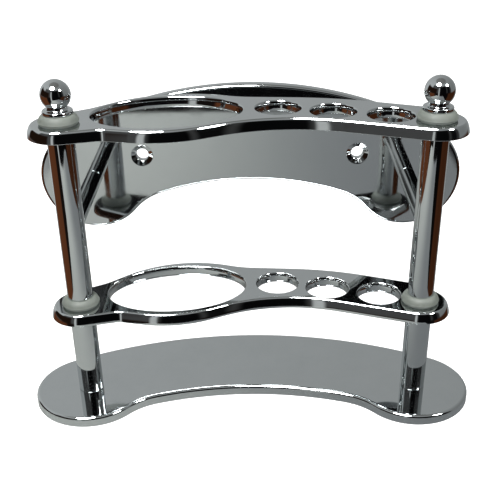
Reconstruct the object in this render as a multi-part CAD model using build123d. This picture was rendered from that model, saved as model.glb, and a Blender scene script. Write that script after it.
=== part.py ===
"""Two-tier stand for a shaving bowl, brush and razors, with a base plate and a wall plate.

Frame: millimetres, +Z up, the open front towards -Y and the wall plate at +Y.
The origin is the middle of the footprint, on the underside of the base plate.
Each piece is written as its own STEP file, named after the piece.
"""
import math
import os

from build123d import *

# ---------------------------------------------------------------- driving dimensions
POST_SPACING = 160.0          # between the axes of the two posts
HALF_SPAN = POST_SPACING / 2
PLATE_T = 5.0                 # base plate, wall plate and both shelves

# base plate and wall plate share one kidney outline
LOBE_R = 27.0                 # round ends, concentric with the posts or the wall arms
CROWN_R = 192.0               # long outer arc
HOLLOW_R = 150.0              # long inner arc
HOLLOW_APEX = -1.5            # the same line to the top of the inner arc
HOLLOW_BLEND_R = 30.0         # tighter bend at each end of the inner arc
PLATE_TOP_ROUND = 1.8         # polished outer edge
PLATE_BACK_ROUND = 0.5        # edge on the table or wall side

# heights above the underside of the base plate
BASE_TOP = PLATE_T
LOWER_SHELF_TOP = BASE_TOP + 47.8
UPPER_SHELF_TOP = BASE_TOP + 135.9
ARM_Z = BASE_TOP + 86.5
WALL_FACE_FROM_POSTS = 60.4   # post axes to the front face of the wall plate

# shelf
SHELF_ROUND = 1.5             # edge rounding, outside
OPENING_ROUND = 1.2           # edge rounding in the openings
SHELF_LOBE_R = 14.0
OVAL_AT = (-35.4, 14.2)       # bowl opening, from the middle of the post line
OVAL_HALF = (33.0, 21.5)
OVAL_TURN = 8.7               # degrees
CUP_HOLES = ((13.3, 18.4), (37.3, 13.3), (61.6, 7.0))
CUP_HOLE_R = 9.9

# posts
TUBE_R = 6.0
TUBE_BORE_R = 4.8
ROD_R = 2.5                   # M5 tie rod
ROD_HOLE_R = 2.75
ROD_THREAD_GAP = 0.02
BUSH_LENGTH = 4.0
TUBE_END_GAP = 0.5            # from a tube's end to the bush inside it

# frosted washers
WASHER_R = 8.8
WASHER_RIM = 1.4              # height of the upright rim
WASHER_H = 4.1
WASHER_SEAT_R = 6.7           # flat top that a tube or finial stands on

# finials
FINIAL_GAP = 0.1              # running gap over the washer
BALL_R = 6.5
BALL_CENTRE_H = 7.9           # above the finial's seat
FLANGE_R = 6.6
FLANGE_T = 1.6
NECK_R = 4.6
INSERT_R = 3.35
INSERT_BORE_GAP = 0.05        # radial clearance on the insert and on the tie rod
INSERT_LENGTH = 8.0
INSERT_POCKET = 8.5
ROD_REACH = 7.0               # tie rod above the finial's seat

# base fastening
NUT_FLATS = 8.0
NUT_H = 2.4
NUT_FROM_FLOOR = 0.4
LOCK_WASHER_R = 4.6
LOCK_WASHER_T = 0.6
COUNTERBORE_R = 5.4

# wall arms and wall fastening
ARM_R = 4.15
ARM_TAP_R = 2.0               # M4 tapped end
ARM_SCREW_HEAD_R = 4.0
ARM_SCREW_LENGTH = 14.0
ARM_TAP_DEPTH = 11.0
SCREW_SOCKET_FLATS = 2.5
SCREW_SOCKET_DEPTH = 1.4
WALL_HOLE_X = 54.3            # from the middle to each wall screw hole
WALL_HOLE_Z = BASE_TOP + 98.6
WALL_HOLE_R = 3.1
WALL_SINK_R = 5.5

# ---------------------------------------------------------------- derived places
WALL_BACK_FROM_POSTS = WALL_FACE_FROM_POSTS + PLATE_T
DEPTH = LOBE_R + WALL_BACK_FROM_POSTS
POST_Y = LOBE_R - DEPTH / 2
WALL_FACE_Y = POST_Y + WALL_FACE_FROM_POSTS
WALL_BACK_Y = POST_Y + WALL_BACK_FROM_POSTS
LOWER_WASHER_TOP = LOWER_SHELF_TOP + WASHER_H
UPPER_WASHER_TOP = UPPER_SHELF_TOP + WASHER_H
FINIAL_SEAT = UPPER_WASHER_TOP + FINIAL_GAP
SIDES = {"left": -HALF_SPAN, "right": HALF_SPAN}


# ---------------------------------------------------------------- outlines
def belt_face(pegs):
    """Face inside a belt that runs round pegs (x, y, radius, side), counter-clockwise.

    side is +1 for a peg inside the belt and -1 for a peg that presses the belt in
    from outside. Neighbouring arcs are joined by their common tangent line, which
    has no length where two pegs touch.
    """
    count = len(pegs)
    headings = []
    for i, (x0, y0, r0, s0) in enumerate(pegs):
        x1, y1, r1, s1 = pegs[(i + 1) % count]
        span = math.hypot(x1 - x0, y1 - y0)
        lead = max(-1.0, min(1.0, (s0 * r0 - s1 * r1) / span))
        headings.append(math.atan2(y1 - y0, x1 - x0) + math.asin(lead))

    def on_peg(peg, heading):
        x, y, radius, side = peg
        return (x + side * radius * math.sin(heading), y - side * radius * math.cos(heading))

    edges = []
    touch = 1e-3
    starts = [on_peg(peg, headings[i - 1]) for i, peg in enumerate(pegs)]
    for i, peg in enumerate(pegs):
        side = peg[3]
        turn = side * ((side * (headings[i] - headings[i - 1])) % (2 * math.pi))
        middle = on_peg(peg, headings[i - 1] + turn / 2)
        end = on_peg(peg, headings[i])
        following = starts[(i + 1) % count]
        if math.dist(end, following) < touch:
            end = following
        edges.append(ThreePointArc(starts[i], middle, end))
        if end != following:
            edges.append(Line(end, following))
    return make_face(edges)


def circle_touching(centre_a, distance_a, centre_b, distance_b):
    """Point at the two distances from two centres, on the side nearer the middle line."""
    ax, ay = centre_a
    bx, by = centre_b
    span = math.hypot(bx - ax, by - ay)
    along = (distance_a ** 2 - distance_b ** 2 + span ** 2) / (2 * span)
    off = math.sqrt(distance_a ** 2 - along ** 2)
    ux, uy = (bx - ax) / span, (by - ay) / span
    return (ax + along * ux - off * uy, ay + along * uy + off * ux)


def kidney_face():
    """Outline of the base plate and the wall plate, with the lobe centres on y = 0."""
    hollow = (0.0, HOLLOW_APEX - HOLLOW_R)
    blend_x, blend_y = circle_touching(
        hollow, HOLLOW_R - HOLLOW_BLEND_R, (HALF_SPAN, 0.0), HOLLOW_BLEND_R + LOBE_R)
    crown_drop = CROWN_R - LOBE_R
    crown_y = -math.sqrt(crown_drop ** 2 - HALF_SPAN ** 2)
    return belt_face([
        (-HALF_SPAN, 0.0, LOBE_R, 1),
        (-blend_x, blend_y, HOLLOW_BLEND_R, -1),
        (*hollow, HOLLOW_R, -1),
        (blend_x, blend_y, HOLLOW_BLEND_R, -1),
        (HALF_SPAN, 0.0, LOBE_R, 1),
        (0.0, crown_y, CROWN_R, 1),
    ])


def shelf_face():
    """Wavy outline of a shelf: a lobe round each post, a ring round the bowl opening
    and a curved band round the three cup holes."""
    return belt_face([
        (-HALF_SPAN, 0.0, SHELF_LOBE_R, 1),
        (-61.0, -18.9, 9.0, -1),       # waist before the bowl ring
        (-40.0, 33.8, 47.0, 1),        # front of the bowl ring
        (18.5, -66.6, 69.0, -1),       # hollow front of the band
        (HALF_SPAN, 0.0, SHELF_LOBE_R, 1),
        (72.0, 2.6, 18.0, 1),          # shoulder behind the right post
        (12.0, -94.6, 130.0, 1),       # back of the band
        (4.0, 74.4, 38.0, -1),         # waist behind the first cup hole
        (-28.5, -7.5, 50.0, 1),        # back of the bowl ring
        (-85.0, 39.9, 23.0, -1),       # waist behind the left post
    ])


# ---------------------------------------------------------------- small helpers
def rod(radius, low, high, x=0.0, y=0.0):
    """Upright cylinder between two heights."""
    return Pos(x, y, low) * Cylinder(radius, high - low,
                                     align=(Align.CENTER, Align.CENTER, Align.MIN))


def ring(outer, inner, low, high, x=0.0, y=0.0):
    """Upright tube between two heights."""
    return rod(outer, low, high, x, y) - rod(inner, low, high, x, y)


def rod_y(radius, low, high, x, z):
    """Cylinder along Y between two depths."""
    return Pos(x, low, z) * Rot(-90, 0, 0) * Cylinder(
        radius, high - low, align=(Align.CENTER, Align.CENTER, Align.MIN))


def cone_y(radius_low, radius_high, low, high, x, z):
    """Cone along Y, with its two radii at the two depths."""
    return Pos(x, low, z) * Rot(-90, 0, 0) * Cone(
        radius_low, radius_high, high - low, align=(Align.CENTER, Align.CENTER, Align.MIN))


def level_edges(solid, z):
    """Edges of a solid that lie wholly at one height."""
    near = 1e-4
    return [edge for edge in solid.edges()
            if abs(edge.bounding_box().min.Z - z) < near and abs(edge.bounding_box().max.Z - z) < near]


# ---------------------------------------------------------------- plates and shelves
def kidney_plate():
    """Kidney plate lying on z = 0 with its polished side up, lobe centres on y = 0."""
    plate = extrude(kidney_face(), PLATE_T)
    plate = fillet(level_edges(plate, PLATE_T), PLATE_TOP_ROUND)
    return fillet(level_edges(plate, 0.0), PLATE_BACK_ROUND)


def base_plate():
    """Base plate, with a clearance hole and a counterbore for each tie rod's nut."""
    plate = Pos(0, POST_Y, 0) * kidney_plate()
    shelf_of_metal = NUT_FROM_FLOOR + NUT_H + LOCK_WASHER_T
    for x in SIDES.values():
        plate -= rod(ROD_HOLE_R, -1, PLATE_T + 1, x, POST_Y)
        plate -= rod(COUNTERBORE_R, -1, shelf_of_metal, x, POST_Y)
    return plate


def wall_plate():
    """Upright wall plate: the same kidney, with countersunk wall holes and arm screw holes."""
    plate = Pos(0, WALL_BACK_Y, ARM_Z) * Rot(90, 0, 0) * kidney_plate()
    sink = WALL_SINK_R - WALL_HOLE_R
    for sign in (-1, 1):
        x = sign * WALL_HOLE_X
        plate -= rod_y(WALL_HOLE_R, WALL_FACE_Y - 1, WALL_BACK_Y + 1, x, WALL_HOLE_Z)
        plate -= cone_y(WALL_SINK_R, WALL_HOLE_R, WALL_FACE_Y, WALL_FACE_Y + sink, x, WALL_HOLE_Z)
    head = ARM_SCREW_HEAD_R - ARM_TAP_R
    for x in SIDES.values():
        plate -= rod_y(ARM_TAP_R + ROD_THREAD_GAP, WALL_FACE_Y - 1, WALL_BACK_Y + 1, x, ARM_Z)
        plate -= cone_y(ARM_TAP_R + ROD_THREAD_GAP, ARM_SCREW_HEAD_R + ROD_THREAD_GAP,
                        WALL_BACK_Y - head, WALL_BACK_Y, x, ARM_Z)
    return plate


def shelf(top):
    """Shelf whose top face is at the given height."""
    plate = extrude(shelf_face(), PLATE_T)
    for z in (PLATE_T, 0.0):
        plate = fillet(level_edges(plate, z), SHELF_ROUND)
    openings = [Pos(*OVAL_AT) * Rot(0, 0, OVAL_TURN) * Ellipse(*OVAL_HALF)]
    openings += [Pos(x, y) * Circle(CUP_HOLE_R) for x, y in CUP_HOLES]
    for opening in openings:
        plate -= extrude(opening, PLATE_T)
        for z in (PLATE_T, 0.0):
            rim = min(level_edges(plate, z), key=lambda edge: abs(edge.length - opening.edge().length))
            plate = fillet([rim], OPENING_ROUND)
    for x in SIDES.values():
        plate -= rod(ROD_HOLE_R, -1, PLATE_T + 1, x)
    return Pos(0, POST_Y, top - PLATE_T) * plate


# ---------------------------------------------------------------- posts
def lower_tube(x):
    """Tube between the base plate and the lower shelf."""
    return ring(TUBE_R, TUBE_BORE_R, BASE_TOP, LOWER_SHELF_TOP - PLATE_T, x, POST_Y)


def upper_tube(x):
    """Tube between the lower washer and the upper shelf."""
    return ring(TUBE_R, TUBE_BORE_R, LOWER_WASHER_TOP, UPPER_SHELF_TOP - PLATE_T, x, POST_Y)


def tube_bushes(low, high, x):
    """Two bushes that centre a tube's ends on the tie rod."""
    first = low + TUBE_END_GAP
    last = high - TUBE_END_GAP
    return Compound(children=[
        ring(TUBE_BORE_R, ROD_R + ROD_THREAD_GAP, first, first + BUSH_LENGTH, x, POST_Y),
        ring(TUBE_BORE_R, ROD_R + ROD_THREAD_GAP, last - BUSH_LENGTH, last, x, POST_Y),
    ])


def washer(bottom, x):
    """Frosted washer with an upright rim and a domed shoulder up to its flat seat."""
    dome = ThreePointArc((WASHER_R, WASHER_RIM), (8.1, 3.1), (WASHER_SEAT_R, WASHER_H))
    half = make_face([
        Line((ROD_HOLE_R, 0), (WASHER_R, 0)),
        Line((WASHER_R, 0), (WASHER_R, WASHER_RIM)),
        dome,
        Line((WASHER_SEAT_R, WASHER_H), (ROD_HOLE_R, WASHER_H)),
        Line((ROD_HOLE_R, WASHER_H), (ROD_HOLE_R, 0)),
    ])
    return Pos(x, POST_Y, bottom) * revolve(Plane.XZ * half, Axis.Z)


def tie_rod(x):
    """Tie rod from the nut under the base up into the finial."""
    body = rod(ROD_R, NUT_FROM_FLOOR, FINIAL_SEAT + ROD_REACH, x, POST_Y)
    ends = level_edges(body, NUT_FROM_FLOOR) + level_edges(body, FINIAL_SEAT + ROD_REACH)
    return chamfer(ends, 0.5)


def base_nut(x):
    """Hexagon nut in the counterbore under the base plate."""
    hexagon = RegularPolygon(NUT_FLATS / 2, 6, major_radius=False) - Circle(ROD_R + ROD_THREAD_GAP)
    return Pos(x, POST_Y, NUT_FROM_FLOOR) * extrude(hexagon, NUT_H)


def lock_washer(x):
    """Plain lock washer between the nut and the base plate."""
    low = NUT_FROM_FLOOR + NUT_H
    return ring(LOCK_WASHER_R, ROD_HOLE_R, low, low + LOCK_WASHER_T, x, POST_Y)


# ---------------------------------------------------------------- finials
def finial(x):
    """Turned ball on a coved flange, with a pocket for its threaded insert."""
    meet = BALL_CENTRE_H - math.sqrt(BALL_R ** 2 - NECK_R ** 2)
    rim_mid = (FLANGE_R, FLANGE_T / 2)
    pocket_r = INSERT_R + INSERT_BORE_GAP
    half = make_face([
        Line((0, INSERT_POCKET), (pocket_r, INSERT_POCKET)),
        Line((pocket_r, INSERT_POCKET), (pocket_r, 0)),
        Line((pocket_r, 0), (FLANGE_R - 0.5, 0)),
        ThreePointArc((FLANGE_R - 0.5, 0), rim_mid, (FLANGE_R - 0.6, FLANGE_T)),
        ThreePointArc((FLANGE_R - 0.6, FLANGE_T), (NECK_R + 0.5, FLANGE_T + 0.6), (NECK_R, meet)),
        ThreePointArc((NECK_R, meet), (BALL_R, BALL_CENTRE_H), (0, BALL_CENTRE_H + BALL_R)),
        Line((0, BALL_CENTRE_H + BALL_R), (0, INSERT_POCKET)),
    ])
    return Pos(x, POST_Y, FINIAL_SEAT) * revolve(Plane.XZ * half, Axis.Z)


def finial_insert(x):
    """Tapped insert in the finial that runs on the end of the tie rod."""
    low = FINIAL_SEAT + FINIAL_GAP
    return ring(INSERT_R, ROD_R + INSERT_BORE_GAP, low, low + INSERT_LENGTH, x, POST_Y)


# ---------------------------------------------------------------- wall arms
def wall_arm(x):
    """Arm from the wall plate to the post, coped to the tube and tapped at the wall end."""
    arm = rod_y(ARM_R, POST_Y, WALL_FACE_Y, x, ARM_Z)
    arm -= rod(TUBE_R, ARM_Z - 2 * ARM_R, ARM_Z + 2 * ARM_R, x, POST_Y)
    tap = rod_y(ARM_TAP_R + ROD_THREAD_GAP, WALL_FACE_Y - ARM_TAP_DEPTH, WALL_FACE_Y + 1, x, ARM_Z)
    return max((arm - tap).solids(), key=lambda solid: solid.volume)


def arm_screw(x):
    """Countersunk socket screw through the wall plate into the arm."""
    head = ARM_SCREW_HEAD_R - ARM_TAP_R
    screw = rod_y(ARM_TAP_R, WALL_BACK_Y - ARM_SCREW_LENGTH, WALL_BACK_Y - head, x, ARM_Z)
    screw += cone_y(ARM_TAP_R, ARM_SCREW_HEAD_R, WALL_BACK_Y - head, WALL_BACK_Y, x, ARM_Z)
    socket = extrude(RegularPolygon(SCREW_SOCKET_FLATS / 2, 6, major_radius=False), SCREW_SOCKET_DEPTH)
    return screw - Pos(x, WALL_BACK_Y, ARM_Z) * Rot(90, 0, 0) * socket


# ---------------------------------------------------------------- assembly
def all_pieces():
    """Every piece of the stand by name."""
    pieces = {
        "base_plate": base_plate(),
        "wall_plate": wall_plate(),
        "lower_shelf": shelf(LOWER_SHELF_TOP),
        "upper_shelf": shelf(UPPER_SHELF_TOP),
    }
    for side, x in SIDES.items():
        pieces[f"{side}_lower_tube"] = lower_tube(x)
        pieces[f"{side}_upper_tube"] = upper_tube(x)
        pieces[f"{side}_lower_tube_bushes"] = tube_bushes(BASE_TOP, LOWER_SHELF_TOP - PLATE_T, x)
        pieces[f"{side}_upper_tube_bushes"] = tube_bushes(
            LOWER_WASHER_TOP, UPPER_SHELF_TOP - PLATE_T, x)
        pieces[f"{side}_lower_washer"] = washer(LOWER_SHELF_TOP, x)
        pieces[f"{side}_upper_washer"] = washer(UPPER_SHELF_TOP, x)
        pieces[f"{side}_tie_rod"] = tie_rod(x)
        pieces[f"{side}_base_nut"] = base_nut(x)
        pieces[f"{side}_lock_washer"] = lock_washer(x)
        pieces[f"{side}_finial"] = finial(x)
        pieces[f"{side}_finial_insert"] = finial_insert(x)
        pieces[f"{side}_wall_arm"] = wall_arm(x)
        pieces[f"{side}_arm_screw"] = arm_screw(x)
    return pieces


if __name__ == "__main__":
    os.makedirs("parts", exist_ok=True)
    for name, piece in all_pieces().items():
        export_step(piece, f"parts/{name}.step")
        print(name, round(piece.volume, 1))
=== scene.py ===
"""Two-tier chrome stand for a shaving bowl, brush and razors, with a base and a wall plate."""

import logging
import math
from contextlib import contextmanager
from dataclasses import dataclass, field
from enum import Enum
from typing import Any, Iterator, Mapping, Sequence

import bmesh
import bpy
import numpy as np
from mathutils import Matrix, Vector
from numpy.typing import NDArray


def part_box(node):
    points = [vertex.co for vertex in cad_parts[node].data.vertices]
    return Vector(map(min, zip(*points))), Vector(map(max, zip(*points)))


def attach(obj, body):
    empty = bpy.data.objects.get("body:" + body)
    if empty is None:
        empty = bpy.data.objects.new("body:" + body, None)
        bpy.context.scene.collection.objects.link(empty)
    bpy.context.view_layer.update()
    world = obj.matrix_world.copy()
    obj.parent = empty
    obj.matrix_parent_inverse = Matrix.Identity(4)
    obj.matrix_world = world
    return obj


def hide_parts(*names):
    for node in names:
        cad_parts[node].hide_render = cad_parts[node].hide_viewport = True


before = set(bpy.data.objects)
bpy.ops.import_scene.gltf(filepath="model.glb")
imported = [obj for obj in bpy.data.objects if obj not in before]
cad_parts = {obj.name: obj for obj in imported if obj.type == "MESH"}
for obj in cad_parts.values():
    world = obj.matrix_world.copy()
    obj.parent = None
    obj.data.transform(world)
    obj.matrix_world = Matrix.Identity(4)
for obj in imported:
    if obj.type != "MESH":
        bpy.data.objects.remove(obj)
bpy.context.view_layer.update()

Array = NDArray[np.float64]
Material = bpy.types.Material
Piece = bpy.types.Object

log = logging.getLogger("stand")

MM = 0.001                # one millimetre in Blender's metres
TURN = 2.0 * math.pi
MIX_A, MIX_B, MIX_OUT = 6, 7, 2   # colour sockets of a Mix node; its kinds share their names
THREAD_PITCH = 0.8        # mm, M5 coarse


class Side(Enum):
    """The two posts, with the word that starts the names of each one's pieces."""

    LEFT = "left"
    RIGHT = "right"


class Axis(Enum):
    """Axis that a round piece is turned about, with its number among x, y and z."""

    UP = 2
    BACK = 1


class Slot(Enum):
    """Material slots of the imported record."""

    PLATE = "polished_chrome"
    TUBE = "chrome_tube"
    FROSTED = "frosted_plastic"
    NYLON = "nylon"
    STEEL = "zinc_steel"
    BRASS = "brass"


# ------------------------------------------------------------------ where the frame says things are
def low_high(node: str) -> tuple[Array, Array]:
    """Corners of a CAD node at rest.

    Args:
        node: name of the CAD node.

    Returns:
        Its lowest and highest corner, in millimetres.
    """
    low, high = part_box(node)
    return np.array(low) / MM, np.array(high) / MM


def middle(node: str) -> Array:
    """Middle of a CAD node's box, in millimetres."""
    low, high = low_high(node)
    return (low + high) / 2.0


def foot(node: str) -> Array:
    """Middle of the underside of a CAD node's box, in millimetres."""
    low, _ = low_high(node)
    return np.array([*middle(node)[:2], low[2]])


def round_size(node: str) -> tuple[float, float]:
    """Radius and height of an upright round CAD node, in millimetres."""
    low, high = low_high(node)
    return float(high[0] - low[0]) / 2.0, float(high[2] - low[2])


# ------------------------------------------------------------------ profiles and grids
def rounded(corners: Sequence[tuple[float, float, float]], steps: int = 7,
            closed: bool = True) -> Array:
    """Polygon with each corner replaced by an arc.

    The arc of radius f touches both sides at f / tan(half angle) from the corner, and its
    points lie at equal angles about a centre on the corner's bisector.

    Args:
        corners: (r, z, f) for each corner, in millimetres; f 0 keeps the corner sharp.
        steps: points along each arc.
        closed: whether the last corner joins the first one.

    Returns:
        Array of (r, z) points.
    """
    points = np.array([c[:2] for c in corners], float)
    runs = []
    for i, (_, _, fillet) in enumerate(corners):
        here = points[i]
        if fillet <= 0.0 or (not closed and i in (0, len(corners) - 1)):
            runs.append(here[None, :])
            continue
        back = points[i - 1] - here
        ahead = points[(i + 1) % len(points)] - here
        back, ahead = back / np.linalg.norm(back), ahead / np.linalg.norm(ahead)
        half = math.acos(float(np.clip(back @ ahead, -1.0, 1.0))) / 2.0
        bisector = (back + ahead) / np.linalg.norm(back + ahead)
        centre = here + bisector * fillet / math.sin(half)
        start = here + back * fillet / math.tan(half) - centre
        end = here + ahead * fillet / math.tan(half) - centre
        share = np.linspace(0.0, 1.0, steps)[:, None]
        sweep = math.pi - 2.0 * half
        weight = np.sin(sweep * np.hstack([1.0 - share, share])) / math.sin(sweep)
        runs.append(centre + weight[:, :1] * start + weight[:, 1:] * end)
    return np.vstack(runs)


def densify(profile: Array, longest: float) -> Array:
    """Closed profile with its long straight runs divided, so that no step is over `longest`.

    Args:
        profile: (r, z) points.
        longest: longest step, in millimetres.

    Returns:
        The points at equal shares of each run.
    """
    ends = np.vstack([profile, profile[:1]])
    steps = np.linalg.norm(np.diff(ends, axis=0), axis=1)
    counts = np.maximum(1, np.ceil(steps / longest)).astype(int)
    index = np.repeat(np.arange(len(counts)), counts)
    share = (np.arange(len(index)) - np.repeat(np.cumsum(counts) - counts, counts)) / counts[index]
    return ends[index] + share[:, None] * (ends[index + 1] - ends[index])


def carried_round(radii: Array, along: Array, angle: Array, axis: Axis = Axis.UP) -> Array:
    """Points at given radii and angles about an axis.

    Radius r, angle t and distance h give (r cos t, r sin t, h) about an upright axis, and
    (r cos t, h, -r sin t) about an axis along Y.

    Args:
        radii: distances from the axis.
        along: distances along the axis.
        angle: angles about it.
        axis: the axis.

    Returns:
        Grid of points, the arrays' common shape with a last direction of 3.
    """
    across, off = radii * np.cos(angle), radii * np.sin(angle)
    reach = along + 0.0 * off
    return np.stack((across, off, reach) if axis is Axis.UP else (across, reach, -off), axis=-1)


def turned(profile: Array, segments: int, start: float = 0.0, end: float = TURN) -> Array:
    """Profile carried round the upright axis.

    Args:
        profile: (r, z) points.
        segments: steps round the axis.
        start: first angle.
        end: last angle, left out of a full turn, because there it meets the first one.

    Returns:
        Grid of points, shape (segments, points, 3).
    """
    full = math.isclose(end - start, TURN)
    angle = np.linspace(start, end, segments, endpoint=not full)[:, None]
    return carried_round(profile[None, :, 0], profile[None, :, 1], angle)


def full_turn(count: int) -> Array:
    """Angles of a whole turn, as a column."""
    return np.linspace(0.0, TURN, count, endpoint=False)[:, None]


def hexagon(angle: Array, flats: float) -> Array:
    """Distance from the middle of a hexagon to its side: half the width across flats over the
    cosine of the angle from the nearest flat's middle.

    Args:
        angle: directions from the middle.
        flats: width across flats.

    Returns:
        The distance in each direction.
    """
    sector = math.pi / 3.0
    off = np.mod(angle + sector / 2.0, sector) - sector / 2.0
    return flats / 2.0 / np.cos(off)


def thread_depth(angle: Array, height: Array, pitch: float) -> Array:
    """Share of a thread's depth at a point, 0 on the crest and 1 in the root.

    The phase is height over pitch less the turn; the wave is a trapezium with flats of an
    eighth of the pitch on the crest and a quarter in the root, as on metric threads.

    Args:
        angle: angles about the axis.
        height: heights along it.
        pitch: rise of the thread in a turn.

    Returns:
        The share at each angle and height.
    """
    crest, root = 0.125, 0.25
    phase = np.mod(height / pitch - angle / TURN, 1.0)
    rise = 1.0 - np.abs(phase - 0.5) * 2.0
    return np.clip((rise - crest) / (1.0 - crest - root), 0.0, 1.0)


def grid_faces(rows: int, columns: int, wrap_rows: bool, wrap_columns: bool) -> NDArray[np.int32]:
    """Quads between the neighbouring points of a grid.

    Args:
        rows: points along the first direction.
        columns: points along the second direction.
        wrap_rows: whether the last row joins the first one.
        wrap_columns: whether the last column joins the first one.

    Returns:
        Four corner numbers for each quad.
    """
    row = np.arange(rows if wrap_rows else rows - 1)[:, None]
    column = np.arange(columns if wrap_columns else columns - 1)[None, :]
    next_row, next_column = (row + 1) % rows, (column + 1) % columns
    corners = (row * columns + column, next_row * columns + column,
               next_row * columns + next_column, row * columns + next_column)
    return np.stack(np.broadcast_arrays(*corners), axis=-1).reshape(-1, 4).astype(np.int32)


def placed(name: str, data: bpy.types.ID) -> bpy.types.Object:
    """Puts a new object in the scene.

    Args:
        name: its name.
        data: its mesh, lamp or camera.

    Returns:
        The object.
    """
    thing = bpy.data.objects.new(name, data)
    bpy.context.scene.collection.objects.link(thing)
    return thing


@contextmanager
def editing(mesh: bpy.types.Mesh) -> Iterator[bmesh.types.BMesh]:
    """Opens a mesh for editing, then turns its faces outwards and writes it back.

    Args:
        mesh: the mesh.

    Yields:
        Its editable copy.
    """
    work = bmesh.new()
    work.from_mesh(mesh)
    yield work
    bmesh.ops.recalc_face_normals(work, faces=work.faces)
    work.to_mesh(mesh)
    work.free()


def solid_piece(name: str, grids: Sequence[tuple[Array, bool, bool]], place: Array,
                caps: bool = False, crease: float = 32.0) -> Piece:
    """One object from closed grids of points.

    Args:
        name: the piece's name.
        grids: (points, wrap round the first direction, wrap round the second direction).
        place: offset of every point, in millimetres.
        caps: whether open ends along the first direction get a flat face.
        crease: angle in degrees above which an edge is sharp.

    Returns:
        The object at the origin, with its place in its mesh and its faces outwards.
    """
    points, faces, rings, base = [], [], [], 0
    for grid, wrap_rows, wrap_columns in grids:
        rows, columns = grid.shape[:2]
        points.append(grid.reshape(-1, 3))
        faces.append(grid_faces(rows, columns, wrap_rows, wrap_columns) + base)
        if caps and not wrap_rows:
            ring = np.arange(columns) + base
            rings += [ring[::-1], ring + (rows - 1) * columns]
        base += rows * columns
    mesh = bpy.data.meshes.new(name)
    every = (np.vstack(points) + place) * MM
    mesh.from_pydata(every, [], np.vstack(faces).tolist() + [ring.tolist() for ring in rings])
    with editing(mesh) as work:
        bmesh.ops.remove_doubles(work, verts=work.verts, dist=1e-7)
        bmesh.ops.dissolve_degenerate(work, edges=work.edges, dist=1e-8)
    mesh.shade_smooth()
    mesh.set_sharp_from_angle(angle=math.radians(crease))
    return placed(name, mesh)


# ------------------------------------------------------------------ flat plates with rounded rims
@dataclass(frozen=True)
class Outline:
    """Closed line in the plane of a plate, with unit normals that point out of the metal."""

    points: Array
    normals: Array

    @staticmethod
    def belt(pegs: Sequence[tuple[float, float, float, int]], step: float = 0.9) -> "Outline":
        """Line of a belt that runs round pegs, counter-clockwise.

        On the peg at c with radius r and side s, a belt that heads along angle h is at
        c + s r (sin h, -cos h). Two pegs a distance d apart share the heading of their centre
        line plus the arcsine of (s0 r0 - s1 r1) / d.

        Args:
            pegs: (x, y, radius, side); side is 1 inside the belt and -1 outside it.
            step: length of each step along the arcs, in millimetres.

        Returns:
            The outline, with its normals to the right of the heading.
        """
        pins = np.array(pegs, float)
        ahead = np.roll(pins, -1, axis=0)
        span = ahead[:, :2] - pins[:, :2]
        lead = (pins[:, 3] * pins[:, 2] - ahead[:, 3] * ahead[:, 2]) / np.linalg.norm(span, axis=1)
        leaving = np.arctan2(span[:, 1], span[:, 0]) + np.arcsin(np.clip(lead, -1.0, 1.0))
        arriving = np.roll(leaving, 1)
        turn = pins[:, 3] * np.mod(pins[:, 3] * (leaving - arriving), TURN)
        runs, rights = [], []
        for pin, first, sweep in zip(pins, arriving, turn):
            count = max(3, int(abs(sweep) * pin[2] / step) + 1)
            heading = first + sweep * np.linspace(0.0, 1.0, count)
            right = np.stack([np.sin(heading), -np.cos(heading)], axis=1)
            runs.append(pin[:2] + pin[3] * pin[2] * right)
            rights.append(right)
        points, normals = np.vstack(runs), np.vstack(rights)
        apart = np.linalg.norm(points - np.roll(points, 1, axis=0), axis=1) > 0.01
        return Outline(points[apart], normals[apart])

    @staticmethod
    def opening(centre: tuple[float, float], half: tuple[float, float], turn: float = 0.0,
                count: int = 160) -> "Outline":
        """Ellipse cut through a plate.

        The point at angle t is (a cos t, b sin t), turned and moved; the normal points to the
        inside of the opening, against (cos t / a, sin t / b).

        Args:
            centre: its middle.
            half: its two half axes.
            turn: angle of the first axis from X, in degrees.
            count: number of points.

        Returns:
            The outline.
        """
        angle = np.linspace(0.0, TURN, count, endpoint=False)
        way = np.stack([np.cos(angle), np.sin(angle)], axis=1)
        slope = way / np.array(half)
        slope /= np.linalg.norm(slope, axis=1)[:, None]
        c, s = math.cos(math.radians(turn)), math.sin(math.radians(turn))
        spin = np.array([[c, s], [-s, c]])
        return Outline((way * np.array(half)) @ spin + np.array(centre), -slope @ spin)


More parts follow.
